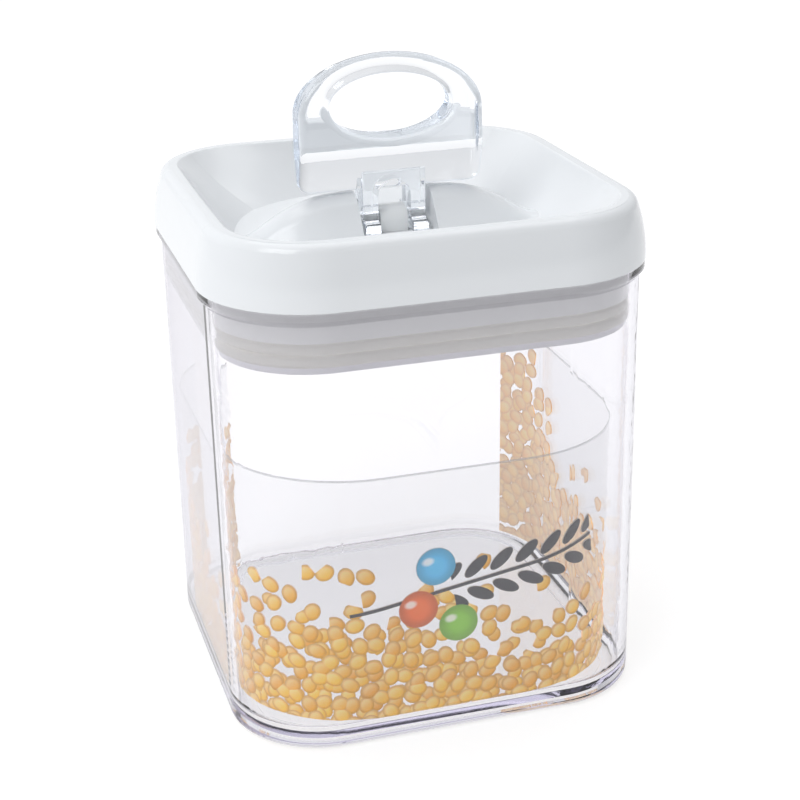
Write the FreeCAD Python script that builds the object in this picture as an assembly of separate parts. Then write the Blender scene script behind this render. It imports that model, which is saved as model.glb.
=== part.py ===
import FreeCAD, Part
import math
import os

Vector = FreeCAD.Vector

# Container: a clear square tub with rounded corners, nearly upright walls and a lip round its mouth
BODY_HEIGHT = 146.6
MOUTH_HALF = 69.6
MOUTH_CORNER = 33.6
WALL_DRAFT = 0.5
CORNER_DRAFT = 2.8
WALL = 3.0
FLOOR = 4.0
BOTTOM_ROUND = 2.2
INNER_ROUND = 5.0
FOOT_WIDTH = 9.0
FOOT_DEPTH = 1.0
LIP_OUT = 1.6
LIP_HEIGHT = 2.6
LIP_SLOPE = 2.0

# Printed film: a thin sheet standing inside the left, front and right walls
FILM_THICK = 0.4
FILM_GAP = 0.4
FILM_SEAT_GAP = 0.02
FILM_HEIGHT = 87.0
FILM_CORNER = 42.0
FILM_BACK_GAP = 19.1

# Lid cover: bowed flanks, a rounded rim and a dish with creased corners
LID_OVERHANG = 0.3
LID_CORNER = 35.8
LID_RISE = 19.4
FLANK_RADIUS = 50.0
FLANK_STEPS = 4
FLANK_THICK = 3.0
RIM_ROUND = 3.6
RIM_INNER_ROUND = 0.8
RIM_WIDTH = 5.0
DISH_DEPTH = 17.0
DISH_CORNER = 25.4
DISH_MID_DROP = 9.5
DISH_MID_RUN = 5.5
DISH_MID_BOW = 10.1
DISH_RUN = 11.8
DISH_FLOOR_BOW = 13.3
COVER_THICK = 2.6

# Barrel: two humps on the hinge line, with the handle's slot between them
BARREL_RADIUS = 9.0
BARREL_END_GAP = 10.6
BARREL_CROWN_REACH = 26.0
BARREL_FOOT_REACH = 10.0
BARREL_FOOT_HEIGHT = 0.8
BARREL_FRONT_ANGLE = 54.0
BARREL_STEPS = 8
SLOT_HALF = 12.5

# Lid plug: the skirted tray under the cover
PLUG_GAP = 0.6
SKIRT_DEPTH = 10.6
SKIRT_THICK = 2.4
WEB_THICK = 2.6
PLUG_FLANGE = 2.2
PLUG_FLANGE_GAP = 0.3
SEAT_WIDTH = 7.0
SEAT_THICK = 2.4

# Gasket: a silicone ring squeezed between the plug and the plate
GASKET_HEIGHT = 7.7
GASKET_GAP = 0.35
GASKET_WIDTH = 5.6
GASKET_RIB = 0.9

# Pressure plate and lift post
PLATE_THICK = 2.2
PLATE_GAP = 1.2
PLATE_ROUND = 0.9
RING_RIB_HEIGHT = 4.0
RING_RIB_THICK = 2.0
RING_RIB_GAP = 0.5
RIB_THICK = 2.0
RIB_HEIGHT = 3.0
RIB_COUNT = 8
HUB_RADIUS = 14.0
HUB_HEIGHT = 5.6
POST_FOOT_RADIUS = 11.0
POST_FOOT_HEIGHT = 3.0
POST_HALF_X = 4.6
POST_HALF_Y = 5.0
POST_ABOVE_PIN = 3.6
POST_ROUND = 4.6
POST_HOLE_GAP = 0.4

# Post screw: a pan head from below
SCREW_RADIUS = 2.0
SCREW_HEAD_RADIUS = 3.9
SCREW_HEAD_HEIGHT = 2.6
SCREW_HEAD_ROUND = 1.3
SCREW_LENGTH = 14.0
SCREW_GAP = 0.02
SCREW_RECESS_GAP = 0.5
SCREW_CROSS = 1.1
SCREW_CROSS_DEPTH = 1.4

# Flip handle: a clear D-ring on two cam legs
HANDLE_HALF = 30.6
HANDLE_HEIGHT = 43.2
HANDLE_THICK = 13.0
HANDLE_FOOT_THICK = 6.0
HANDLE_TIP_THICK = 7.2
HANDLE_BELLY = 14.5
BELLY_REACH_DOWN = 4.0
BELLY_REACH_UP = 6.0
HANDLE_ARCH = 18.0
HANDLE_CORNER = 4.0
HANDLE_ROUND = 2.9
HANDLE_BAR_GAP = 0.6
HOLE_SIDE_BAND = 10.4
HOLE_RISE = 10.0
HOLE_TOP_BAND = 6.2
HOLE_ROUND = 2.6
LEG_OUTER = 10.6
LEG_INNER = 5.5
LEG_TOP = 6.6
LEG_FRONT = 5.6
LEG_BACK = 4.3
LEG_TOE = 8.5
TOE_HEIGHT = 3.0
TOE_SLOPE = 1.0
HEEL_HEIGHT = 0.8
LEG_ROUND = 0.7
ARCH_ABOVE_PIN = 13.0
PIN_RADIUS = 2.0
PIN_PRESS_GAP = 0.01
PIN_RUN_GAP = 0.06

# Cam action: the legs lift the pin evenly as the handle folds back
CAM_LOW = 4.2
CAM_GAP = 0.3
CAM_LIFT = 3.0
FOLD_DEG = 90.0
CAM_POINTS = 7

# How near counts as the same place when edges are picked, and the run of a diagonal
NEAR = 1e-3
DIAGONAL = math.sqrt(0.5)

# Levels that follow from the sizes above
rim_z = BODY_HEIGHT + LID_RISE
dish_z = rim_z - DISH_DEPTH
pin_z = dish_z + CAM_LOW + CAM_GAP
web_top_z = dish_z - COVER_THICK
skirt_z = BODY_HEIGHT - SKIRT_DEPTH
plate_top_z = skirt_z - GASKET_HEIGHT
plate_z = plate_top_z - PLATE_THICK
hub_z = plate_top_z + HUB_HEIGHT
bar_z = pin_z + BARREL_RADIUS + HANDLE_BAR_GAP
handle_top_z = bar_z + HANDLE_HEIGHT
base_half = MOUTH_HALF - WALL_DRAFT
base_corner = MOUTH_CORNER - CORNER_DRAFT
lip_half = MOUTH_HALF + LIP_OUT
lid_half = lip_half + LID_OVERHANG
hole_half = HANDLE_HALF - HOLE_SIDE_BAND


def flank_inset(height):
    """How far the bowed flank has come in at a height above the lid's edge."""
    return FLANK_RADIUS - math.sqrt(FLANK_RADIUS ** 2 - height ** 2)


dish_half = lid_half - flank_inset(LID_RISE) - RIM_WIDTH
barrel_half = dish_half - BARREL_END_GAP


def rounded_square(half, corner, z):
    """A closed wire: a square of that half side, with quarter-circle corners, at height z."""
    flat = half - corner
    edges = []
    for quarter in range(4):
        turn = FreeCAD.Rotation(Vector(0, 0, 1), 90 * quarter)
        start = turn.multVec(Vector(half, -flat, z))
        end = turn.multVec(Vector(half, flat, z))
        middle = turn.multVec(Vector(flat + corner * DIAGONAL, flat + corner * DIAGONAL, z))
        after = turn.multVec(Vector(flat, half, z))
        edges.append(Part.makeLine(start, end))
        edges.append(Part.Arc(end, middle, after).toShape())
    return Part.Wire(edges)


def tower(sections, ruled=True):
    """A solid through rounded squares, each given as (half side, corner, height)."""
    wires = [rounded_square(half, corner, z) for half, corner, z in sections]
    return Part.makeLoft(wires, True, ruled)


def prism(half, corner, low, high):
    """An upright rounded square block."""
    return tower([(half, corner, low), (half, corner, high)])


def box(x0, x1, y0, y1, z0, z1):
    """A block between two corners."""
    return Part.makeBox(x1 - x0, y1 - y0, z1 - z0, Vector(x0, y0, z0))


def edges_at(shape, z, reach=BODY_HEIGHT):
    """The edges that lie wholly at height z, no farther out than the reach."""
    found = []
    for edge in shape.Edges:
        room = edge.BoundBox
        far = max(room.XMax, -room.XMin, room.YMax, -room.YMin)
        if abs(room.ZMin - z) < NEAR and abs(room.ZMax - z) < NEAR and far < reach + NEAR:
            found.append(edge)
    return found


def body_section(z, inset):
    """The container's rounded square at height z, drawn in by a wall."""
    share = z / BODY_HEIGHT
    half = base_half + WALL_DRAFT * share
    corner = base_corner + CORNER_DRAFT * share
    return (half - inset, corner - inset, z)


def container_body():
    outer = tower([body_section(0, 0), body_section(BODY_HEIGHT, 0)])
    outer = outer.makeFillet(BOTTOM_ROUND, edges_at(outer, 0))
    lip_z = BODY_HEIGHT - LIP_HEIGHT
    under = body_section(lip_z - LIP_SLOPE, 0)
    lip_corner = MOUTH_CORNER + LIP_OUT
    lip = tower([under, (lip_half, lip_corner, lip_z), (lip_half, lip_corner, BODY_HEIGHT)])
    cavity = tower([body_section(FLOOR, WALL), body_section(BODY_HEIGHT, WALL)])
    cavity = cavity.makeFillet(INNER_ROUND, edges_at(cavity, FLOOR))
    foot = prism(base_half - FOOT_WIDTH, base_corner - FOOT_WIDTH, 0, FOOT_DEPTH)
    return outer.fuse(lip).cut(cavity).cut(foot).removeSplitter()


def print_film():
    outside = WALL + FILM_GAP
    inside = outside + FILM_THICK
    seat = INNER_ROUND - math.sqrt(INNER_ROUND ** 2 - (INNER_ROUND - FILM_GAP) ** 2)
    low = FLOOR + seat + FILM_SEAT_GAP
    high = FLOOR + FILM_HEIGHT

    def face(z, inset):
        return (body_section(z, inset)[0], FILM_CORNER - inset + outside, z)

    sheet = tower([face(low, outside), face(high, outside)])
    sheet = sheet.cut(tower([face(low, inside), face(high, inside)]))
    back = box(-MOUTH_HALF, MOUTH_HALF, base_half - FILM_BACK_GAP, MOUTH_HALF, 0, BODY_HEIGHT)
    return sheet.cut(back)


def all_round(side):
    """One side's edges, turned to all four sides of a closed wire."""
    edges = []
    for quarter in range(4):
        turn = FreeCAD.Placement(Vector(0, 0, 0), FreeCAD.Rotation(Vector(0, 0, 1), 90 * quarter))
        edges.extend(edge.transformGeometry(turn.toMatrix()) for edge in side)
    return Part.Wire(edges)


def mouth_wire(half, corner, z):
    """The dish's mouth: straight sides whose round corners are parted at the diagonals."""
    flat = half - corner

    def turned(deg):
        angle = math.radians(deg)
        return Vector(flat + corner * math.cos(angle), flat + corner * math.sin(angle), z)

    def mirrored(deg):
        spot = turned(deg)
        return Vector(spot.x, -spot.y, z)

    return all_round([
        Part.Arc(mirrored(45), mirrored(22.5), mirrored(0)).toShape(),
        Part.makeLine(mirrored(0), turned(0)),
        Part.Arc(turned(0), turned(22.5), turned(45)).toShape(),
    ])


def bowed_wire(half, crease, z):
    """A level of the dish lower down: bowed sides that meet in a crease on each diagonal."""
    bow = ((half - crease) ** 2 + crease ** 2) / (2 * (half - crease))
    spread = math.asin(crease / bow)

    def spot(sixths):
        angle = spread * sixths / 6
        return Vector(half - bow + bow * math.cos(angle), bow * math.sin(angle), z)

    return all_round([
        Part.Arc(spot(-6), spot(-5), spot(-4)).toShape(),
        Part.Arc(spot(-4), spot(0), spot(4)).toShape(),
        Part.Arc(spot(4), spot(5), spot(6)).toShape(),
    ])


def dish_space(grow):
    """The hollow of the lid's dish, grown by a wall thickness."""
    across = grow * DIAGONAL
    mouth = mouth_wire(dish_half + grow, DISH_CORNER + grow, rim_z)
    mid_half = dish_half - DISH_MID_RUN
    floor_half = dish_half - DISH_RUN
    mid = bowed_wire(mid_half + grow, mid_half - DISH_MID_BOW + across, rim_z - DISH_MID_DROP)
    floor = bowed_wire(floor_half + grow, floor_half - DISH_FLOOR_BOW + across, dish_z - grow)
    return Part.makeLoft([mouth, mid, floor], True, False)


def hump_section(x, drop, radius, low):
    """The hump from the side at a place along the hinge line: a round crown and a sloping front, let down by a drop."""
    slope = math.radians(BARREL_FRONT_ANGLE)
    axis_z = pin_z - drop
    foot_z = low - drop

    def crown(angle):
        return Vector(x, radius * math.sin(angle), axis_z + radius * math.cos(angle))

    touch = crown(-slope)
    toe = Vector(x, touch.y - (touch.z - foot_z) / math.tan(slope), foot_z)
    heel = Vector(x, radius, foot_z)
    back = crown(math.pi / 2)
    return Part.Wire([
        Part.makeLine(toe, touch),
        Part.Arc(touch, crown(-slope / 2), crown(0)).toShape(),
        Part.Arc(crown(0), crown(math.pi / 4), back).toShape(),
        Part.makeLine(back, heel),
        Part.makeLine(heel, toe),
    ])


def barrel_hump(inset):
    """The right-hand hump: its side view runs along the hinge line and sinks into the dish in a bell."""
    radius = BARREL_RADIUS - inset
    inner = SLOT_HALF + inset
    outer = barrel_half - inset
    low = dish_z - inset
    fall = pin_z + BARREL_RADIUS - dish_z - BARREL_FOOT_HEIGHT
    bell = Part.BezierCurve()
    bell.setPoles([
        Vector(inner, 0, 0),
        Vector(inner + BARREL_CROWN_REACH - inset, 0, 0),
        Vector(outer - BARREL_FOOT_REACH + inset, 0, fall),
        Vector(outer, 0, fall),
    ])
    places = [bell.value(i / (BARREL_STEPS - 1)) for i in range(BARREL_STEPS)]
    ridge = Part.makeLoft([hump_section(at.x, at.z, radius, low) for at in places], True, False)
    reach = 4 * BARREL_RADIUS
    return ridge.common(box(inner, outer, -reach, reach, low, pin_z + reach))


def both_sides(shape):
    """A shape and its mirror image across the middle."""
    return shape.fuse(shape.mirror(Vector(0, 0, 0), Vector(1, 0, 0)))


def flank_tower(wall, rise):
    """The block inside the bowed flanks, drawn in by a wall, up to a rise above the lid's edge."""
    sections = []
    for i in range(FLANK_STEPS):
        height = rise * i / (FLANK_STEPS - 1)
        inset = flank_inset(height) + wall
        sections.append((lid_half - inset, LID_CORNER - inset, BODY_HEIGHT + height))
    return tower(sections, ruled=False)


def lid_cover():
    shell = flank_tower(0, LID_RISE)
    shell = shell.makeFillet(RIM_ROUND, edges_at(shell, rim_z))
    hollow = flank_tower(FLANK_THICK, LID_RISE - COVER_THICK)
    bowl = dish_space(COVER_THICK).common(box(-lid_half, lid_half, -lid_half, lid_half, web_top_z, rim_z))
    cover = shell.cut(hollow).fuse(bowl)
    dish = dish_space(0).cut(both_sides(barrel_hump(0)))
    cover = cover.cut(dish).cut(both_sides(barrel_hump(COVER_THICK)))
    hole = box(-POST_HALF_X - POST_HOLE_GAP, POST_HALF_X + POST_HOLE_GAP,
               -POST_HALF_Y - POST_HOLE_GAP, POST_HALF_Y + POST_HOLE_GAP, web_top_z, dish_z)
    cover = cover.cut(hole).removeSplitter()
    return cover.makeFillet(RIM_INNER_ROUND, edges_at(cover, rim_z, dish_half))


def lid_plug():
    half, corner = body_section(skirt_z, WALL + PLUG_GAP)[:2]
    flange_top = BODY_HEIGHT + PLUG_FLANGE
    skirt = prism(half, corner, skirt_z, flange_top)
    flange_in = FLANK_THICK + PLUG_FLANGE_GAP + flank_inset(PLUG_FLANGE)
    flange = prism(lid_half - flange_in, LID_CORNER - flange_in, BODY_HEIGHT, flange_top)
    plug = skirt.fuse(flange)
    upper = prism(half - SKIRT_THICK, corner - SKIRT_THICK, web_top_z, flange_top)
    lower = prism(half - SKIRT_THICK, corner - SKIRT_THICK, skirt_z + SEAT_THICK, web_top_z - WEB_THICK)
    mouth_in = SKIRT_THICK + SEAT_WIDTH
    mouth = prism(half - mouth_in, corner - mouth_in, skirt_z, skirt_z + SEAT_THICK)
    hole = box(-POST_HALF_X - POST_HOLE_GAP, POST_HALF_X + POST_HOLE_GAP,
               -POST_HALF_Y - POST_HOLE_GAP, POST_HALF_Y + POST_HOLE_GAP,
               web_top_z - WEB_THICK, web_top_z)
    return plug.cut(upper).cut(lower).cut(mouth).cut(hole).removeSplitter()


def gasket_half():
    """The half side and corner of the gasket's outer face, clear of the container's wall."""
    return body_section(plate_top_z, WALL + GASKET_GAP)[:2]


def seal_gasket():
    half, corner = gasket_half()
    drawn_in = [GASKET_RIB, 0, 0, GASKET_RIB, 0, 0, GASKET_RIB]
    step = GASKET_HEIGHT / (len(drawn_in) - 1)
    ring = tower([(half - inset, corner - inset, plate_top_z + step * i) for i, inset in enumerate(drawn_in)])
    bore = prism(half - GASKET_WIDTH, corner - GASKET_WIDTH, plate_top_z, skirt_z)
    return ring.cut(bore)


def pressure_plate():
    half, corner = body_section(plate_top_z, WALL + PLATE_GAP)[:2]
    plate = prism(half, corner, plate_z, plate_top_z)
    plate = plate.makeFillet(PLATE_ROUND, edges_at(plate, plate_z))
    ring_out = half - (gasket_half()[0] - GASKET_WIDTH - RING_RIB_GAP)
    ring_in = ring_out + RING_RIB_THICK
    ring_top = plate_top_z + RING_RIB_HEIGHT
    ring = prism(half - ring_out, corner - ring_out, plate_top_z, ring_top)
    ring = ring.cut(prism(half - ring_in, corner - ring_in, plate_top_z, ring_top))
    hub = Part.makeCylinder(HUB_RADIUS, HUB_HEIGHT, Vector(0, 0, plate_top_z))
    spokes = []
    for i in range(RIB_COUNT):
        rib = box(0, 2 * half, -RIB_THICK / 2, RIB_THICK / 2, plate_top_z, plate_top_z + RIB_HEIGHT)
        rib.rotate(Vector(0, 0, 0), Vector(0, 0, 1), 360 * i / RIB_COUNT)
        spokes.append(rib)
    spokes = hub.multiFuse(spokes).common(prism(half - ring_in, corner - ring_in, plate_top_z, ring_top))
    plate = plate.multiFuse([ring, spokes, hub])
    seat = screw_seat_z()
    recess = Part.makeCylinder(SCREW_HEAD_RADIUS + SCREW_RECESS_GAP, seat - plate_z, Vector(0, 0, plate_z))
    bore = Part.makeCylinder(SCREW_RADIUS + SCREW_RECESS_GAP, hub_z - plate_z, Vector(0, 0, plate_z))
    return plate.cut(recess).cut(bore).removeSplitter()


def screw_seat_z():
    """The height of the shoulder that the screw's head draws up against."""
    return plate_z + SCREW_HEAD_HEIGHT + SCREW_RECESS_GAP


def lift_post():
    foot = Part.makeCylinder(POST_FOOT_RADIUS, POST_FOOT_HEIGHT, Vector(0, 0, hub_z))
    stem_top = pin_z + POST_ABOVE_PIN
    stem = box(-POST_HALF_X, POST_HALF_X, -POST_HALF_Y, POST_HALF_Y, hub_z, stem_top)
    crown = [e for e in edges_at(stem, stem_top) if e.BoundBox.YLength < NEAR]
    stem = stem.makeFillet(POST_ROUND, crown)
    post = foot.fuse(stem)
    cross_hole = Part.makeCylinder(PIN_RADIUS + PIN_RUN_GAP, 2 * POST_HALF_X,
                                   Vector(-POST_HALF_X, 0, pin_z), Vector(1, 0, 0))
    pilot = Part.makeCylinder(SCREW_RADIUS + SCREW_GAP, SCREW_LENGTH, Vector(0, 0, hub_z))
    return post.cut(cross_hole).cut(pilot).removeSplitter()


def post_screw():
    seat = screw_seat_z()
    low = seat - SCREW_HEAD_HEIGHT
    head = Part.makeCylinder(SCREW_HEAD_RADIUS, SCREW_HEAD_HEIGHT, Vector(0, 0, low))
    head = head.makeFillet(SCREW_HEAD_ROUND, edges_at(head, low))
    shank = Part.makeCylinder(SCREW_RADIUS, SCREW_LENGTH, Vector(0, 0, seat))
    arm = SCREW_HEAD_RADIUS * DIAGONAL
    half = SCREW_CROSS / 2
    slot = box(-arm, arm, -half, half, low, low + SCREW_CROSS_DEPTH)
    across = box(-half, half, -arm, arm, low, low + SCREW_CROSS_DEPTH)
    return head.fuse(shank).cut(slot).cut(across).removeSplitter()


def hinge_pin():
    return Part.makeCylinder(PIN_RADIUS, 2 * LEG_OUTER, Vector(-LEG_OUTER, 0, pin_z), Vector(1, 0, 0))


def cam_point(angle):
    """A point of the cam whose reach grows evenly with the angle, from straight down to straight back."""
    rate = CAM_LIFT / math.radians(FOLD_DEG)
    reach = CAM_LOW + rate * angle
    y = reach * math.sin(angle) + rate * math.cos(angle)
    z = -reach * math.cos(angle) + rate * math.sin(angle)
    return Vector(-LEG_OUTER, y, pin_z + z)


def cam_legs():
    fold = math.radians(FOLD_DEG)
    cam = Part.BSplineCurve()
    cam.interpolate([cam_point(fold * i / (CAM_POINTS - 1)) for i in range(CAM_POINTS)])
    start = cam_point(0)
    end = cam_point(fold)
    top = bar_z + LEG_TOP
    toe_z = start.z + TOE_HEIGHT
    heel_z = end.z + HEEL_HEIGHT

    def at(y, z):
        return Vector(-LEG_OUTER, y, z)

    front = [start, at(-LEG_TOE, start.z), at(-LEG_TOE, toe_z), at(-LEG_FRONT, toe_z + TOE_SLOPE)]
    back = [at(-LEG_FRONT, top), at(LEG_BACK, top), at(LEG_BACK, heel_z), at(end.y, heel_z), end]
    sides = Part.makePolygon(front + back)
    block = Part.Face(Part.Wire([*sides.Edges, cam.toShape()])).extrude(Vector(2 * LEG_OUTER, 0, 0))
    rims = [e for e in block.Edges if e.BoundBox.YMax < -LEG_BACK and e.BoundBox.ZMin > start.z + NEAR]
    block = block.makeFillet(LEG_ROUND, rims)
    arch_z = pin_z + ARCH_ABOVE_PIN - LEG_INNER
    reach = 2 * LEG_TOE
    gap = box(-LEG_INNER, LEG_INNER, -reach, reach, pin_z - reach, arch_z)
    arch = Part.makeCylinder(LEG_INNER, 2 * reach, Vector(0, -reach, arch_z), Vector(0, 1, 0))
    return block.cut(gap).cut(arch)


def curve(*poles):
    """A Bezier curve's edge."""
    made = Part.BezierCurve()
    made.setPoles(list(poles))
    return made.toShape()


def belly_block():
    """The handle's block from the side: thin at the foot, fullest across the bar and tapering to the tip."""

    def at(half, rise):
        return Vector(-HANDLE_HALF, half, bar_z + rise)

    def flank(side):
        full = side * HANDLE_THICK / 2
        foot = at(side * HANDLE_FOOT_THICK / 2, 0)
        belly = at(full, HANDLE_BELLY)
        tip = at(side * HANDLE_TIP_THICK / 2, HANDLE_HEIGHT)
        lower = curve(foot, at(full, HANDLE_BELLY - BELLY_REACH_DOWN), belly)
        upper = curve(belly, at(full, HANDLE_BELLY + BELLY_REACH_UP), tip)
        return foot, lower, upper, tip

    front_foot, front_lower, front_upper, front_tip = flank(-1)
    back_foot, back_lower, back_upper, back_tip = flank(1)
    foot = Part.makeLine(front_foot, back_foot)
    tip = Part.makeLine(back_tip, front_tip)
    outline = Part.Wire([foot, back_lower, back_upper, tip, front_upper, front_lower])
    return Part.Face(outline).extrude(Vector(2 * HANDLE_HALF, 0, 0))


def ring_plate():
    front = -HANDLE_THICK / 2
    side_z = handle_top_z - HANDLE_ARCH
    low_x = HANDLE_HALF - HANDLE_CORNER
    turn = HANDLE_CORNER * (1 - DIAGONAL)

    def at(x, z):
        return Vector(x, front, z)

    arch = Part.Ellipse(at(HANDLE_HALF, side_z), at(0, handle_top_z), at(0, side_z))
    right_corner = Part.Arc(at(low_x, bar_z), at(HANDLE_HALF - turn, bar_z + turn),
                            at(HANDLE_HALF, bar_z + HANDLE_CORNER))
    left_corner = Part.Arc(at(-HANDLE_HALF, bar_z + HANDLE_CORNER), at(turn - HANDLE_HALF, bar_z + turn),
                           at(-low_x, bar_z))
    outline = Part.Wire([
        Part.makeLine(at(-low_x, bar_z), at(low_x, bar_z)),
        right_corner.toShape(),
        Part.makeLine(at(HANDLE_HALF, bar_z + HANDLE_CORNER), at(HANDLE_HALF, side_z)),
        arch.toShape(0, math.pi),
        Part.makeLine(at(-HANDLE_HALF, side_z), at(-HANDLE_HALF, bar_z + HANDLE_CORNER)),
        left_corner.toShape(),
    ])
    hole_z = handle_top_z - HOLE_TOP_BAND - HOLE_RISE
    hole = Part.Ellipse(at(hole_half, hole_z), at(0, hole_z + HOLE_RISE), at(0, hole_z)).toShape()
    thick = Vector(0, HANDLE_THICK, 0)
    plate = Part.Face(outline).extrude(thick).common(belly_block())
    rims = [e for e in plate.Edges if abs(e.CenterOfMass.y) > HANDLE_ROUND / 2]
    plate = plate.makeFillet(HANDLE_ROUND, rims)
    plate = plate.cut(Part.Face(Part.Wire([hole])).extrude(thick))
    mouth = [e for e in plate.Edges if abs(e.BoundBox.XLength - 2 * hole_half) < NEAR]
    return plate.makeFillet(HOLE_ROUND, mouth)


def flip_handle():
    handle = ring_plate().fuse(cam_legs())
    bore = Part.makeCylinder(PIN_RADIUS + PIN_PRESS_GAP, 2 * LEG_OUTER,
                             Vector(-LEG_OUTER, 0, pin_z), Vector(1, 0, 0))
    return handle.cut(bore).removeSplitter()


PIECES = {
    "container_body": container_body,
    "print_film": print_film,
    "lid_cover": lid_cover,
    "lid_plug": lid_plug,
    "seal_gasket": seal_gasket,
    "pressure_plate": pressure_plate,
    "lift_post": lift_post,
    "post_screw": post_screw,
    "hinge_pin": hinge_pin,
    "flip_handle": flip_handle,
}

os.makedirs("parts", exist_ok=True)
for name, make in PIECES.items():
    shape = make()
    print(name, "solids", len(shape.Solids), "valid", shape.isValid(), "volume", round(shape.Volume, 1))
    shape.exportStep(os.path.join("parts", name + ".step"))
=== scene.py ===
# %% [markdown]
# # A storage canister with a flip handle
# A clear square tub stands on a table under a white dished lid. A clear ring handle stands up on the lid;
# folded back, its two cam legs pull a plate up under the lid and squeeze a soft ring against the tub's wall.
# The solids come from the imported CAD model, which is the fixed frame here. This lesson gives every solid its
# finish, makes the printed film and the soft ring anew, and sets up the studio.

# %% Load the frame
import math

import bpy
from mathutils import Matrix, Vector


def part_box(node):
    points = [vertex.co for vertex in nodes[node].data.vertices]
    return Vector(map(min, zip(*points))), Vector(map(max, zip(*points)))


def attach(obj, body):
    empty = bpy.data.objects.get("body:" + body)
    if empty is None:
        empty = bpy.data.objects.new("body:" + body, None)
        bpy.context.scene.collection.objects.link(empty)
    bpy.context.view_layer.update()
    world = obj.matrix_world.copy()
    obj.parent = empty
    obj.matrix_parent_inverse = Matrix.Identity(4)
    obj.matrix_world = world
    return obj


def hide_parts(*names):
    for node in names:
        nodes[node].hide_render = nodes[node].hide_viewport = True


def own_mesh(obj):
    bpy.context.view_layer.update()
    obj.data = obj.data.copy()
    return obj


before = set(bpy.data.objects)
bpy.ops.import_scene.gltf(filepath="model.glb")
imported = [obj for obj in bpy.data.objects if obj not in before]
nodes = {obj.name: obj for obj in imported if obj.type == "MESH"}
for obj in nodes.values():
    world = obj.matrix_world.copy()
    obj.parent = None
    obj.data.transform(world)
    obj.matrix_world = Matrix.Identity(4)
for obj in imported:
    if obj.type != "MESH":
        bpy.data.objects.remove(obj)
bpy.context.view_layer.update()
MM = 0.001

# %% [markdown]
# ## The camera
# The photograph looks down at the canister from the front left with a long lens. A camera can be aimed by a
# constraint, but its small roll is easier to set with a matrix: its columns are the picture's right, its up and the
# way back towards the eye.

# %% Camera
EYE = Vector((-151.55, -515.47, 302.51)) * MM
TARGET = Vector((2.25, 0.0, 87.70)) * MM
ROLL = math.radians(-1.04)
FOCAL_PIXELS = 1694.46
PICTURE_PIXELS = 800
SENSOR = 36.0

forward = (TARGET - EYE).normalized()
level_right = forward.cross(Vector((0, 0, 1))).normalized()
level_up = level_right.cross(forward)
right = math.cos(ROLL) * level_right + math.sin(ROLL) * level_up
up = math.cos(ROLL) * level_up - math.sin(ROLL) * level_right
camera_data = bpy.data.cameras.new("photo_camera")
camera_data.sensor_width = SENSOR
camera_data.lens = FOCAL_PIXELS / PICTURE_PIXELS * SENSOR
camera_data.clip_start = 0.01
camera = bpy.data.objects.new("photo_camera", camera_data)
bpy.context.scene.collection.objects.link(camera)
turn = Matrix((right, up, -forward)).transposed()
camera.matrix_world = Matrix.Translation(EYE) @ turn.to_4x4()
bpy.context.scene.camera = camera
print("camera:", round(camera_data.lens, 2), "mm lens")

# %% [markdown]
# ## Shader sums as plain Python
# A finish is a small sum of patterns. Wiring every sum by hand hides the idea, so one class wraps a socket and
# turns Python's operators into Math nodes. Every other node comes from `node`, which sets the node's own settings
# first and then its sockets.

# %% A socket with operators
class Wire:
    """An output socket. Sums on it add Math nodes to its material."""

    def __init__(self, socket):
        self.socket = socket

    def out(self, name):
        """Another output of the same node."""
        return Wire(self.socket.node.outputs[name])

    def node(self, kind, settings=None, sockets=None, out=0):
        """Another node of the same material."""
        return add_node(self.socket.id_data, kind, settings, sockets, out)

    def math(self, operation, *values):
        """A Math node on this value, and on others if the operation takes more."""
        return self.node("ShaderNodeMath", {"operation": operation}, dict(enumerate([self, *values])))

    def vector(self, operation, *values):
        """A Vector Math node on this vector and others."""
        return self.node("ShaderNodeVectorMath", {"operation": operation}, dict(enumerate([self, *values])))

    def split(self):
        """A vector's or a colour's three numbers."""
        x = self.node("ShaderNodeSeparateXYZ", None, {0: self})
        return x, x.out("Y"), x.out("Z")

    def ramp(self, low, high, to_low=0.0, to_high=1.0):
        """Leads a range of this value smoothly to another range."""
        return self.node("ShaderNodeMapRange", {"interpolation_type": "SMOOTHSTEP"},
                         {0: self, 1: low, 2: high, 3: to_low, 4: to_high})

    def between(self, first, second):
        """A colour that goes from the first to the second as this value goes from 0 to 1."""
        return self.node("ShaderNodeMix", {"data_type": "RGBA"}, {"Factor": self, 6: first, 7: second}, out=2)

    def __add__(self, other):
        return self.math("ADD", other)

    def __sub__(self, other):
        return self.math("SUBTRACT", other)

    def __rsub__(self, other):
        return self.math("MULTIPLY_ADD", -1.0, other)

    def __mul__(self, other):
        return self.math("MULTIPLY", other)

    def __truediv__(self, other):
        return self.math("DIVIDE", other)

    def __pow__(self, other):
        return self.math("POWER", other)

    def __rtruediv__(self, other):
        return self.node("ShaderNodeMath", {"operation": "DIVIDE"}, {0: other, 1: self})

    def __rpow__(self, other):
        return self.node("ShaderNodeMath", {"operation": "POWER"}, {0: other, 1: self})

    def __lt__(self, other):
        return self.math("LESS_THAN", other)

    def __abs__(self):
        return self.math("ABSOLUTE")

    __radd__ = __add__
    __rmul__ = __mul__


def add_node(tree, kind, settings=None, sockets=None, out=0):
    """A node of that kind: its settings first, then the values or wires of its sockets. Returns one output."""
    made = tree.nodes.new(kind)
    for name, value in (settings or {}).items():
        if name == "stops":
            for stop, (place, colour) in zip(made.color_ramp.elements, value):
                stop.position = place
                stop.color = (*colour, 1)
        else:
            setattr(made, name, value)
    for name, value in (sockets or {}).items():
        if isinstance(value, Wire):
            tree.links.new(value.socket, made.inputs[name])
        else:
            made.inputs[name].default_value = value
    return Wire(made.outputs[out])


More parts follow.
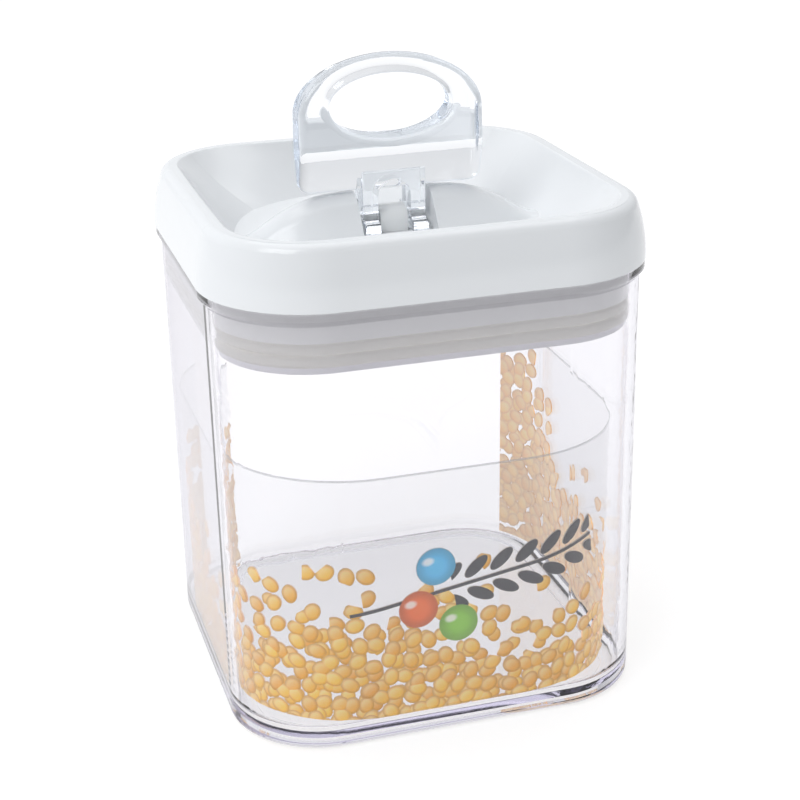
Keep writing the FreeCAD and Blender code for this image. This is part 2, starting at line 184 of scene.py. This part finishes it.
def finish_of(name, **constants):
    """A new material: its tree and its main shader, with the constants set on the shader's own sockets."""
    material = bpy.data.materials.new(name)
    material.use_nodes = True
    tree = material.node_tree
    shader = tree.nodes["Principled BSDF"]
    for socket, value in constants.items():
        shader.inputs[socket.replace("_", " ")].default_value = value
    return material, tree, shader


def join(wire, shader, socket):
    """Leads a wire into one socket of the shader."""
    shader.id_data.links.new(wire.socket, shader.inputs[socket])


def place(tree):
    """The point on the piece, in metres."""
    return add_node(tree, "ShaderNodeTexCoord", out="Object")


def noise(at, scale, detail=2.0):
    """A noise pattern from 0 to 1 over a place, with so many lumps to the metre."""
    return at.node("ShaderNodeTexNoise", None, {"Vector": at, "Scale": scale, "Detail": detail})


def shade(colour, share):
    """A colour made darker, or lighter, by a share of itself."""
    return (*[part * share for part in colour], 1)


def dress(names, material):
    """Gives CAD nodes a finish."""
    for name in names:
        nodes[name].data.materials.clear()
        nodes[name].data.materials.append(material)
    print(material.name, "on", ", ".join(names))


print("shader helpers ready")

# %% [markdown]
# ## White lid plastic
# The lid is injection-moulded in a glossy white plastic. It is never perfectly even: the gloss drifts a little from
# place to place, and a very fine orange peel breaks up the reflections. Two noises do that, a broad one for the
# gloss and a fine one for the bump. The thin plug and plate under it let some light through, which a faint
# glow gives.

# %% White plastics
DRIFT_LUMPS = 35.0
DRIFT_ROUGH = 0.06
DRIFT_SHADE = 0.985
PEEL_LUMPS = 1400.0
PEEL_DEPTH = 0.02 * MM
THROUGH_LIGHT = 0.12


def white_plastic(name, colour, rough, peel, glow=0.0):
    """Moulded white plastic: its colour, its roughness, its orange peel, and the light that comes through it."""
    material, tree, shader = finish_of(name, IOR=1.5, Emission_Color=(*colour, 1), Emission_Strength=glow)
    at = place(tree)
    drift = noise(at, DRIFT_LUMPS)
    join(drift.between(shade(colour, DRIFT_SHADE), shade(colour, 1.0)), shader, "Base Color")
    join(drift * DRIFT_ROUGH + rough, shader, "Roughness")
    skin = at.node("ShaderNodeBump", None,
                   {"Strength": peel, "Distance": PEEL_DEPTH, "Height": noise(at, PEEL_LUMPS, detail=1.0)})
    join(skin, shader, "Normal")
    return material


dress(["lid_cover"], white_plastic("lid_white", (0.825, 0.848, 0.870), rough=0.12, peel=0.1))
dress(["lift_post"], white_plastic("post_white", (0.88, 0.90, 0.91), rough=0.16, peel=0.1))
dress(["hinge_pin"], white_plastic("pin_white", (0.88, 0.90, 0.91), rough=0.20, peel=0.1))
dress(["lid_plug"], white_plastic("plug_white", (0.87, 0.87, 0.885), rough=0.30, peel=0.2, glow=THROUGH_LIGHT))
dress(["pressure_plate"], white_plastic("plate_lilac", (0.84, 0.83, 0.88), rough=0.30, peel=0.2, glow=THROUGH_LIGHT))

# %% [markdown]
# ## Clear acrylic
# The tub and the handle are polished clear plastic with real walls, so light must bend at both faces. The shader's
# transmission does that. Such plastic is tinted a trace of blue against yellowing: across a wall nobody sees it, but
# along an edge the light runs far inside, and the tint shows. An absorbing volume does the same inside. Where a face
# is seen at a flat angle, a Layer Weight mixes in a deeper colour, partly that tint and partly painted shade that
# darkens the edges. Handling leaves faint, broad smears in the gloss.

# %% Clear plastics
SMEAR_LUMPS = 28.0
SMEAR_SHADE = 1.01


def clear_plastic(name, colour, flat_tint_and_shade, edge, smear, tint, depth):
    """Clear plastic: its colour, its tint and painted edge shade at a flat angle and how late they set in, its smears,
    its tint inside.
    """
    material, tree, shader = finish_of(name, IOR=1.49, Transmission_Weight=1.0)
    clouds = noise(place(tree), SMEAR_LUMPS, detail=3.0)
    # At a flat angle the colour turns deeper: partly tint, partly painted shade that darkens the edges.
    flat = add_node(tree, "ShaderNodeLayerWeight", None, {"Blend": 0.5}, out="Facing") ** edge
    straight_on = clouds.between(shade(colour, 1.0), shade(colour, SMEAR_SHADE))
    join(flat.between(straight_on, (*flat_tint_and_shade, 1)), shader, "Base Color")
    join(clouds * smear, shader, "Roughness")
    inside = add_node(tree, "ShaderNodeVolumeAbsorption", None, {"Color": (*tint, 1), "Density": depth})
    join(inside, tree.nodes["Material Output"], "Volume")
    return material


# The colours at a flat angle are partly tint and partly painted shade on the edges; the tub's is much darker.
TUB = {"colour": (0.972, 0.970, 0.980), "flat_tint_and_shade": (0.13, 0.10, 0.22), "edge": 3.5, "smear": 0.02,
       "tint": (0.80, 0.77, 0.90), "depth": 12.0}
HANDLE = {"colour": (0.985, 0.987, 0.99), "flat_tint_and_shade": (0.74, 0.82, 0.92), "edge": 2.5, "smear": 0.015,
          "tint": (0.45, 0.62, 0.85), "depth": 6.0}
dress(["container_body"], clear_plastic("clear_body", **TUB))
dress(["flip_handle"], clear_plastic("clear_handle", **HANDLE))

# %% [markdown]
# ## The steel screw
# The screw that holds the lift post to the plate is turned steel. Its marks run round the axis. Rings of bump would
# look too even, so a noise is drawn out round the axis instead, and moves both the shade and the gloss.

# %% Steel
MARK_LUMPS = 900.0
MARK_ROUGH = 0.15
STEEL_ROUGH = 0.2
STEEL_DARK = (0.50, 0.51, 0.53, 1)
STEEL_PALE = (0.68, 0.69, 0.71, 1)
ROUND_THE_AXIS = (0.05, 0.05, 1.0)


def turned_steel(name, stretch):
    """Turned steel, with its marks drawn out round the axis."""
    material, tree, shader = finish_of(name, Metallic=1.0)
    run = add_node(tree, "ShaderNodeMapping", None, {"Vector": place(tree), "Scale": stretch})
    marks = noise(run, MARK_LUMPS, detail=3.0)
    join(marks.between(STEEL_DARK, STEEL_PALE), shader, "Base Color")
    join(marks * MARK_ROUGH + STEEL_ROUGH, shader, "Roughness")
    return material


dress(["post_screw"], turned_steel("screw_steel", ROUND_THE_AXIS))

# %% [markdown]
# ## The soft ring
# The ring that seals the lid is soft silicone with two ribs that press on the tub's wall. It shortens when the
# handle pulls the plate up, and it is made anew here as a piece of its own. A square with bevelled corners
# gives its outline, and the section is walked round by extruding that outline and drawing it in, step by step.

# %% Seal ring
ring_low, ring_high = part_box("seal_gasket")
RING_CORNER = 29.9 * MM
RING_WIDTH = 5.4 * MM
RIBS = 2
RIB_DEPTH = 0.9 * MM
RIB_SOFT = 0.25
CORNER_STEPS = 14
RIB_PROFILE = ((0.08, RIB_SOFT), (0.16, 0.0), (0.34, 0.0), (0.42, RIB_SOFT), (0.5, 1.0))
RING_SMOOTH = math.radians(50)
MERGE_GAP = 0.01 * MM


def start_outline(name, half, corner, z):
    """A new object in edit mode: a rounded square's outline at a height, all of it selected."""
    bpy.ops.object.select_all(action="DESELECT")
    bpy.ops.mesh.primitive_plane_add(size=2 * half, location=(0, 0, z))
    made = bpy.context.object
    made.name = name
    bpy.ops.object.transform_apply(location=True, rotation=True, scale=True)
    bpy.ops.object.mode_set(mode="EDIT")
    bpy.ops.mesh.delete(type="ONLY_FACE")
    bpy.ops.mesh.select_all(action="SELECT")
    bpy.ops.mesh.bevel(offset=corner, segments=CORNER_STEPS, affect="VERTICES")
    return made


def walk(half, steps):
    """Extrudes the selected outline through (drawn in, height) steps, from its own half side and height."""
    inset, height = steps[0]
    for next_inset, next_height in steps[1:]:
        share = (half - next_inset) / (half - inset)
        bpy.ops.mesh.extrude_region_move(TRANSFORM_OT_translate={"value": (0, 0, next_height - height)})
        bpy.ops.transform.resize(value=(share, share, 1), center_override=(0, 0, 0))
        inset, height = next_inset, next_height


def close_up(made):
    """Merges what meets, turns the faces outwards and leaves edit mode."""
    bpy.ops.mesh.select_all(action="SELECT")
    bpy.ops.mesh.remove_doubles(threshold=MERGE_GAP)
    bpy.ops.mesh.normals_make_consistent(inside=False)
    bpy.ops.object.mode_set(mode="OBJECT")
    print(made.name, len(made.data.polygons), "faces")


ring_half = ring_high.x
ring_rise = ring_high.z - ring_low.z
ring_steps = [(RIB_DEPTH, 0.0)]
for rib in range(RIBS):
    start = ring_rise * rib / RIBS
    for share, depth in RIB_PROFILE:
        ring_steps.append((RIB_DEPTH * depth, start + ring_rise * share))
ring_steps += [(RING_WIDTH, ring_rise), (RING_WIDTH, 0.0), (RIB_DEPTH, 0.0)]
seal_ring = start_outline("seal_ring", ring_half - RIB_DEPTH, RING_CORNER - RIB_DEPTH, ring_low.z)
walk(ring_half, ring_steps)
close_up(seal_ring)
bpy.ops.object.shade_smooth_by_angle(angle=RING_SMOOTH)

# %% [markdown]
# ## Silicone
# Silicone is milky and dull, and a little uneven in both. One soft noise is enough for that. The ring rides on
# the lid.

# %% Silicone finish
SILICONE_DARK = (0.78, 0.765, 0.74, 1)
SILICONE_PALE = (0.84, 0.825, 0.80, 1)
SILICONE_LUMPS = 60.0
SILICONE_ROUGH = 0.42
CLOUD_ROUGH = 0.1

# A faint glow in the pale colour is painted light: it stands for light that comes through the soft ring.
silicone, tree, shader = finish_of("silicone", IOR=1.41, Emission_Color=SILICONE_PALE,
                                  Emission_Strength=THROUGH_LIGHT)
cloud = noise(place(tree), SILICONE_LUMPS, detail=3.0)
join(cloud.between(SILICONE_DARK, SILICONE_PALE), shader, "Base Color")
join(cloud * CLOUD_ROUGH + SILICONE_ROUGH, shader, "Roughness")
seal_ring.data.materials.append(silicone)
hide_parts("seal_gasket")
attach(seal_ring, "lid")
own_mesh(seal_ring)
print(silicone.name, "on", seal_ring.name)

# %% [markdown]
# ## The printed film
# A clear sheet stands inside the tub against three of its walls and turns its corners in wide bends. A strip of the
# front is the start; its edge is spun round the corner, drawn along the side wall and spun on towards the back.
# A mirror makes the other half, and a solidify gives the sheet its thickness. Its own map of the sheet, laid out
# flat, carries the print.

# %% Film
film_low, film_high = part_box("print_film")
FILM_BEND = 42.0 * MM
FILM_THICK = 0.4 * MM
FILM_DRAFT = 0.29 * MM
BEND_STEPS = 20
FILM_SMOOTH = math.radians(40)
film_half = film_high.x
film_rise = film_high.z - film_low.z
film_flat = film_half - FILM_BEND
film_back = math.asin((film_high.y - film_flat) / FILM_BEND)


def pick_edge(made, test):
    """Selects only the edges whose middle passes a test, in edit mode."""
    bpy.ops.mesh.select_all(action="DESELECT")
    bpy.ops.object.mode_set(mode="OBJECT")
    for edge in made.data.edges:
        a, b = (made.data.vertices[i].co for i in edge.vertices)
        edge.select = test((a + b) / 2)
    bpy.ops.object.mode_set(mode="EDIT")


bpy.ops.object.select_all(action="DESELECT")
bpy.ops.mesh.primitive_plane_add(size=1, location=(film_flat / 2, -film_half, film_low.z + film_rise / 2),
                                 rotation=(math.pi / 2, 0, 0))
film = bpy.context.object
film.name = "printed_film"
film.scale = (film_flat, film_rise, 1)
bpy.ops.object.transform_apply(location=True, rotation=True, scale=True)
bpy.ops.object.mode_set(mode="EDIT")
bpy.ops.mesh.select_mode(type="EDGE")
pick_edge(film, lambda at: at.x > film_flat - MM)
bpy.ops.mesh.spin(steps=BEND_STEPS, angle=-math.pi / 2, center=(film_flat, -film_flat, 0), axis=(0, 0, 1))
bpy.ops.mesh.extrude_region_move(TRANSFORM_OT_translate={"value": (0, 2 * film_flat, 0)})
bpy.ops.mesh.spin(steps=BEND_STEPS // 2, angle=-film_back, center=(film_flat, film_flat, 0), axis=(0, 0, 1))
bpy.ops.object.mode_set(mode="OBJECT")
mirror = film.modifiers.new("other_half", "MIRROR")
mirror.merge_threshold = MERGE_GAP
bpy.ops.object.modifier_apply(modifier="other_half")
print("film:", len(film.data.polygons), "faces, box", [round(v / MM, 1) for v in film.dimensions])

# %% [markdown]
# ## The film laid flat
# The print was made on a flat sheet, so it needs a map of the flat sheet. An unwrap could stretch it; here every
# point's run along the bends is worked out instead, which is exact. Then the foot is drawn in with the tub's walls,
# and the sheet gets its thickness. The faces that look inwards are marked, as the print looks paler from there.

# %% Lay the film out flat
half_run = film_flat + FILM_BEND * math.pi / 2 + 2 * film_flat + FILM_BEND * film_back


def run_along(at):
    """How far a point of the film lies from the middle of the front, along the sheet."""
    x, y = abs(at.x), at.y
    if x <= film_flat:
        run = x
    elif y < -film_flat:
        run = film_flat + FILM_BEND * math.atan2(x - film_flat, -film_flat - y)
    elif y <= film_flat:
        run = film_flat + FILM_BEND * math.pi / 2 + (y + film_flat)
    else:
        run = half_run - FILM_BEND * (film_back - math.atan2(y - film_flat, x - film_flat))
    return math.copysign(run, at.x)


film.data.uv_layers.new(name="laid_flat")
for name in [layer.name for layer in film.data.uv_layers if layer.name != "laid_flat"]:
    film.data.uv_layers.remove(film.data.uv_layers[name])
sheet_map = film.data.uv_layers["laid_flat"]
for loop in film.data.loops:
    at = film.data.vertices[loop.vertex_index].co
    sheet_map.data[loop.index].uv = (0.5 + run_along(at) / (2 * half_run), (at.z - film_low.z) / film_rise)
bpy.ops.object.mode_set(mode="EDIT")
pick_edge(film, lambda at: at.z < film_low.z + MM)
foot_share = 1 - FILM_DRAFT / film_half
bpy.ops.transform.resize(value=(foot_share, foot_share, 1), center_override=(0, 0, 0))
bpy.ops.mesh.select_all(action="SELECT")
bpy.ops.mesh.normals_make_consistent(inside=False)
bpy.ops.object.mode_set(mode="OBJECT")
thicken = film.modifiers.new("thickness", "SOLIDIFY")
thicken.thickness = FILM_THICK
thicken.offset = -1
bpy.ops.object.modifier_apply(modifier="thickness")
bpy.ops.object.shade_smooth_by_angle(angle=FILM_SMOOTH)
inner_side = film.data.attributes.new("inner_side", "FLOAT", "FACE")
for face in film.data.polygons:
    across = face.normal.x * face.center.x + face.normal.y * face.center.y
    inner_side.data[face.index].value = 1.0 if across < -MM else 0.0
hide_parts("print_film")
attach(film, "container")
print("film laid flat:", round(2 * half_run / MM, 1), "by", round(film_rise / MM, 1), "mm")

# %% [markdown]
# ## The print
# The sheet carries a generic print: golden flakes that lie thick along the bottom and thin out upwards in swells,
# and a plain sprig with three berries on the front. It could be painted into a picture, but sums on the flat map stay
# sharp at any size. First come the map's measures, in millimetres.

# %% Measures on the sheet
INK_GLOW = 0.25

print_ink, tree, shader = finish_of("film_print", IOR=1.46, Roughness=0.25, Emission_Strength=INK_GLOW)


def oval(x, y, long, wide):
    """0 in the middle of an oval and 1 on its edge."""
    x, y = x / long, y / wide
    return (x * x + y * y) ** 0.5


flat_map = add_node(tree, "ShaderNodeUVMap", {"uv_map": "laid_flat"})
sheet_mm = flat_map.vector("MULTIPLY_ADD", (2 * half_run / MM, film_rise / MM, 0), (-half_run / MM, 0, 0))
run_mm, rise_mm = sheet_mm.split()[:2]
print("sheet measured in mm")

# %% [markdown]
# ## Golden flakes
# A Voronoi pattern scatters the flakes: each cell knows its middle and has a colour of its own, so every flake
# gets its own turn, its shade and its chance to be there. Three layers overlap, so no grid shows.

# %% Flakes
FLAKE_LAYERS = [(5.6, (0.0, 0.0), 40.0), (6.1, (131.7, 57.3), 34.0), (6.4, (273.1, 91.9), 62.0)]
FLAKE_LONG = 0.52
FLAKE_WIDE = 0.42
FLAKE_SCATTER = 0.8
SWELL_RUN = 26.0
SWELL_RISE = 7.0
BANKS = [(1.0, 128.0, 60.0), (-1.0, 96.0, 26.0)]
FLAKE_LIT = (1.0, 0.90, 0.54, 1)
FLAKE_EDGE = (0.50, 0.20, 0.006, 1)
LIT_UP, LIT_LEFT = 0.8, 0.6
LIT_RANGE = (-0.35, 0.4)
LIT_SHARE = 0.5
EDGE_FROM = 0.5
EDGE_SHARE = 0.62
FULL_UP_TO = 8.0
INK_EDGE = 0.93
FLAKE_TINTS = [(0.0, (0.84, 0.37, 0.010)), (1.0, (1.0, 0.60, 0.05))]


def flakes(cell, shift, top):
    """One layer of flakes: its colour, and where it covers the sheet."""
    at = sheet_mm.vector("ADD", (*shift, 0)).vector("DIVIDE", (cell, cell, 1))
    cells = at.node("ShaderNodeTexVoronoi", {"voronoi_dimensions": "2D"},
                    {"Vector": at, "Scale": 1.0, "Randomness": FLAKE_SCATTER})
    middle = cells.out("Position")
    chance, ripeness, spin = cells.out("Color").split()
    local = at.vector("SUBTRACT", middle)
    turned = local.node("ShaderNodeVectorRotate", {"rotation_type": "Z_AXIS"},
                        {"Vector": local, "Angle": spin * math.tau})
    long, wide = turned.split()[:2]
    reach = oval(long, wide, FLAKE_LONG, FLAKE_WIDE)
    middle_run, middle_rise = middle.split()[:2]
    middle_run = middle_run * cell - shift[0]
    swell = (middle_run / SWELL_RUN).math("SINE") * SWELL_RISE
    level = middle_rise * cell - shift[1] + swell
    for side, start, height in BANKS:
        level = level - (middle_run * side).ramp(start, half_run / MM, 0.0, height)
    there = chance < level.ramp(FULL_UP_TO, top, 1.0, 0.0)
    across, lift = local.split()[:2]
    lit = (lift * LIT_UP - across * LIT_LEFT).ramp(*LIT_RANGE)
    body = ripeness.node("ShaderNodeValToRGB", {"stops": FLAKE_TINTS}, {0: ripeness})
    colour = (lit * LIT_SHARE).between(body, FLAKE_LIT)
    colour = (reach.ramp(EDGE_FROM, 1.0) * EDGE_SHARE).between(colour, FLAKE_EDGE)
    return colour, reach.ramp(INK_EDGE, 1.0, 1.0, 0.0) * there


colour, cover = flakes(*FLAKE_LAYERS[0])
for layer in FLAKE_LAYERS[1:]:
    next_colour, next_cover = flakes(*layer)
    colour = next_cover.between(colour, next_colour)
    cover = cover.math("MAXIMUM", next_cover)
print("flakes in", len(FLAKE_LAYERS), "layers")

# %% [markdown]
# ## Sprig and berries
# The sprig is one leaf, repeated along the stem by wrapping the run and mirrored by an absolute value, so a single
# oval draws all of them. Each berry is a round with a darker rim and a gleam.

# %% Sprig and berries
SPRIG_AT = (24.0, 47.0)
SPRIG_TILT = math.radians(9)
LEAF_PITCH = 8.6
LEAF_OUT = 4.9
LEAF_TURN = math.radians(34)
SPRIG_REACH = 25.8
STEM_END = -34.0
CHARCOAL = (0.045, 0.045, 0.055, 1)
LEAF_LONG, LEAF_WIDE = 5.0, 2.1
STEM_HALF = 0.5
STEM_SOFT = 0.2
BERRIES = [((-38.0, -4.0), (0.80, 0.16, 0.03)), ((-30.0, 9.0), (0.10, 0.50, 0.80)),
           ((-26.0, -13.0), (0.25, 0.55, 0.06))]
BERRY_RADIUS = 6.6
BERRY_CORE = 0.3
BERRY_EDGE = 0.95
CORE_SHADE, RIM_SHADE = 1.15, 0.75
GLEAM_AT = (-2.2, 2.4)
GLEAM_LONG, GLEAM_WIDE = 2.6, 1.8
GLEAM_CORE = 0.4
GLEAM_SHARE = 0.75
GLEAM = (1.0, 0.97, 0.92, 1)

away_x, away_y = run_mm - SPRIG_AT[0], rise_mm - SPRIG_AT[1]
stem_x = away_x * math.cos(SPRIG_TILT) + away_y * math.sin(SPRIG_TILT)
stem_y = away_y * math.cos(SPRIG_TILT) - away_x * math.sin(SPRIG_TILT)
leaf_x = stem_x.math("WRAP", LEAF_PITCH / 2, -LEAF_PITCH / 2)
leaf_y = abs(stem_y) - LEAF_OUT
leaf_long = leaf_x * math.cos(LEAF_TURN) + leaf_y * math.sin(LEAF_TURN)
leaf_wide = leaf_y * math.cos(LEAF_TURN) - leaf_x * math.sin(LEAF_TURN)
leaves = oval(leaf_long, leaf_wide, LEAF_LONG, LEAF_WIDE).ramp(INK_EDGE, 1.0, 1.0, 0.0)
leaves = leaves * (abs(stem_x) < SPRIG_REACH)
stem = abs(stem_y).ramp(STEM_HALF, STEM_HALF + STEM_SOFT, 1.0, 0.0)
stem = stem * (abs(stem_x - STEM_END / 2) < SPRIG_REACH - STEM_END / 2)
sprig = leaves.math("MAXIMUM", stem)
colour = sprig.between(colour, CHARCOAL)
cover = cover.math("MAXIMUM", sprig)
for (berry_x, berry_y), berry_tint in BERRIES:
    across, upward = stem_x - berry_x, stem_y - berry_y
    reach = oval(across, upward, BERRY_RADIUS, BERRY_RADIUS)
    gleam = oval(across - GLEAM_AT[0], upward - GLEAM_AT[1], GLEAM_LONG, GLEAM_WIDE)
    gleam = gleam.ramp(GLEAM_CORE, 1.0, GLEAM_SHARE, 0.0)
    skin = reach.ramp(BERRY_CORE, 1.0).between(shade(berry_tint, CORE_SHADE), shade(berry_tint, RIM_SHADE))
    skin = gleam.between(skin, GLEAM)
    berry = reach.ramp(BERRY_EDGE, 1.0, 1.0, 0.0)
    colour = berry.between(colour, skin)
    cover = cover.math("MAXIMUM", berry)
print("sprig with", len(BERRIES), "berries")

# %% [markdown]
# ## Ink on clear film
# Where there is no ink the film is clear, so the print is cut out by the shader's alpha. A faint veil keeps the bare
# film in sight, and its cut upper edge shows as a thin line. The ink is backed with white, so it looks paler from the
# inside, which the mark on the faces tells. A faint glow stands for the light that comes through it.

# %% Ink on the film
FILM_VEIL = 0.06
CLEAR_FILM = (0.45, 0.46, 0.49, 1)
INK_COVER = 0.97
EDGE_LINE = 0.5
EDGE_SOFT = 0.2
EDGE_COVER = 0.3
BACK_SHARE = 0.5
BACK_TINT = (0.93, 0.85, 0.79, 1)

edge_start = film_rise / MM - EDGE_LINE
edge = rise_mm.ramp(edge_start - EDGE_SOFT, edge_start)
inside = add_node(tree, "ShaderNodeAttribute", {"attribute_name": "inner_side"}, out="Fac")
colour = (inside * BACK_SHARE).between(colour, BACK_TINT)
colour = cover.between(CLEAR_FILM, colour)
join(colour, shader, "Base Color")
join(colour, shader, "Emission Color")
join((edge * EDGE_COVER + FILM_VEIL).math("MAXIMUM", cover * INK_COVER), shader, "Alpha")
film.data.materials.append(print_ink)
print("ink on", film.name)

# %% [markdown]
# ## The studio
# A product picture on white: a wide pale floor, a soft light on the left, one above, and a slightly cool room. The
# floor glows a little, so it stays white all round. The room is brightest at the back, because clear plastic shows
# what is behind it, and dimmer in front and on the right, which models the lid's flanks.

# %% Studio
FLOOR_SIZE = 8.0
FLOOR_GAP = 0.3 * MM
FLOOR_GLOW = 0.75
FLOOR_TINT = (0.35, 0.35, 0.355, 1)
LIGHT_AIM = (0, 0, 0.1)
ROOM_TINT = (0.97, 0.98, 1.0, 1)
ROOM_LEVEL, ROOM_BACK, ROOM_SIDE, ROOM_UP = 0.51, 0.36, 0.12, 0.15

bpy.ops.object.select_all(action="DESELECT")
bpy.ops.mesh.primitive_plane_add(size=FLOOR_SIZE, location=(0, 0, -FLOOR_GAP))
floor = bpy.context.object
floor.name = "studio_floor"
paper = finish_of("floor_paper", Roughness=0.9, Base_Color=FLOOR_TINT,
                  Emission_Color=(1.0, 1.0, 1.0, 1), Emission_Strength=FLOOR_GLOW)[0]
floor.data.materials.append(paper)


def soft_box(name, at, aim, size, power):
    """A square area light that looks at a point."""
    data = bpy.data.lights.new(name, "AREA")
    data.size = size
    data.energy = power
    lamp = bpy.data.objects.new(name, data)
    bpy.context.scene.collection.objects.link(lamp)
    lamp.location = at
    lamp.rotation_euler = (Vector(aim) - Vector(at)).to_track_quat("-Z", "Y").to_euler()


soft_box("key_left", (-1.0, -0.75, 1.45), LIGHT_AIM, size=1.0, power=11.5)
soft_box("top", (0.1, 0.4, 1.8), LIGHT_AIM, size=1.5, power=8)

world = bpy.data.worlds.new("studio_room")
bpy.context.scene.world = world
world.use_nodes = True
room = world.node_tree.nodes["Background"]
room.inputs["Color"].default_value = ROOM_TINT
side, back, height = add_node(world.node_tree, "ShaderNodeTexCoord", out="Generated").split()
join(back * ROOM_BACK - side * ROOM_SIDE + height * ROOM_UP + ROOM_LEVEL, room, "Strength")
bpy.context.scene.view_settings.view_transform = "Standard"
light_paths = bpy.context.scene.cycles
light_paths.max_bounces = 32
light_paths.glossy_bounces = 24
light_paths.transmission_bounces = 20
light_paths.transparent_max_bounces = 24
print("studio: two soft boxes and a pale room")
